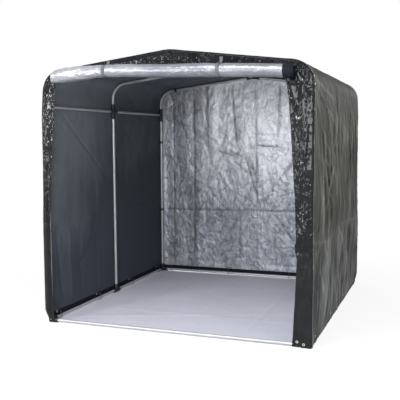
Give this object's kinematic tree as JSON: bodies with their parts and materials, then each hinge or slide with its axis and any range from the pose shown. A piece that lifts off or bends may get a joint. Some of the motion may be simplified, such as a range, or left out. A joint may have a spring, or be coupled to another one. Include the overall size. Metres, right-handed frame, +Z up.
{
  "type": "bike shelter",
  "caption": "Free-standing tent shelter for bicycles: tube frame with moulded fittings, fabric walls and roof, rolled-up door, groundsheet.",
  "frame": {"origin": "on the ground, at the middle of the tube frame's footprint, on the groundsheet's underside", "axes": "+X to the right seen from the door, +Y from the door to the back wall, +Z up"},
  "size_m": [2.2046, 2.4418, 2.1622],
  "materials": {
    "frame_tube": "satin silver powder coat on steel tube",
    "fitting": "moulded black plastic",
    "groundsheet": "woven plastic sheet, slight sheen",
    "cover": "coated polyester, soft folds",
    "crinkled_cover": "coated fabric, glossy and finely crinkled, silver inside",
    "hem": "black woven band",
    "door_lining": "silver coating, wrinkled",
    "webbing": "dark grey woven strap",
    "tie": "elastic cord and plastic balls",
    "eyelet": "nickel plated"
  },
  "bodies": {
    "root": {"groundsheet": "groundsheet", "front_base_tube": "frame_tube", "back_base_tube": "frame_tube", "side_base_tubes": "frame_tube", "front_left_foot": "fitting", "front_right_foot": "fitting", "middle_left_foot": "fitting", "middle_right_foot": "fitting", "back_left_foot": "fitting", "back_right_foot": "fitting", "front_left_upright": "frame_tube", "front_right_upright": "frame_tube", "middle_left_upright": "frame_tube", "middle_right_upright": "frame_tube", "back_left_upright": "frame_tube", "back_right_upright": "frame_tube", "front_left_eave_joint": "fitting", "front_right_eave_joint": "fitting", "middle_left_eave_joint": "fitting", "middle_right_eave_joint": "fitting", "back_left_eave_joint": "fitting", "back_right_eave_joint": "fitting", "front_left_roof_bow": "frame_tube", "front_right_roof_bow": "frame_tube", "middle_left_roof_bow": "frame_tube", "middle_right_roof_bow": "frame_tube", "back_left_roof_bow": "frame_tube", "back_right_roof_bow": "frame_tube", "front_ridge_joint": "fitting", "middle_ridge_joint": "fitting", "back_ridge_joint": "fitting", "side_rails": "frame_tube", "ridge_rails": "frame_tube", "left_wall": "cover", "right_wall": "cover", "back_wall": "crinkled_cover", "roof_cover": "cover", "wall_hems": "hem", "front_gable": "crinkled_cover", "left_flap": "crinkled_cover", "right_flap": "crinkled_cover", "rolled_door": "door_lining", "door_straps": "webbing", "cover_ties": "tie", "eyelets": "eyelet"}
  },
  "joints": []
}
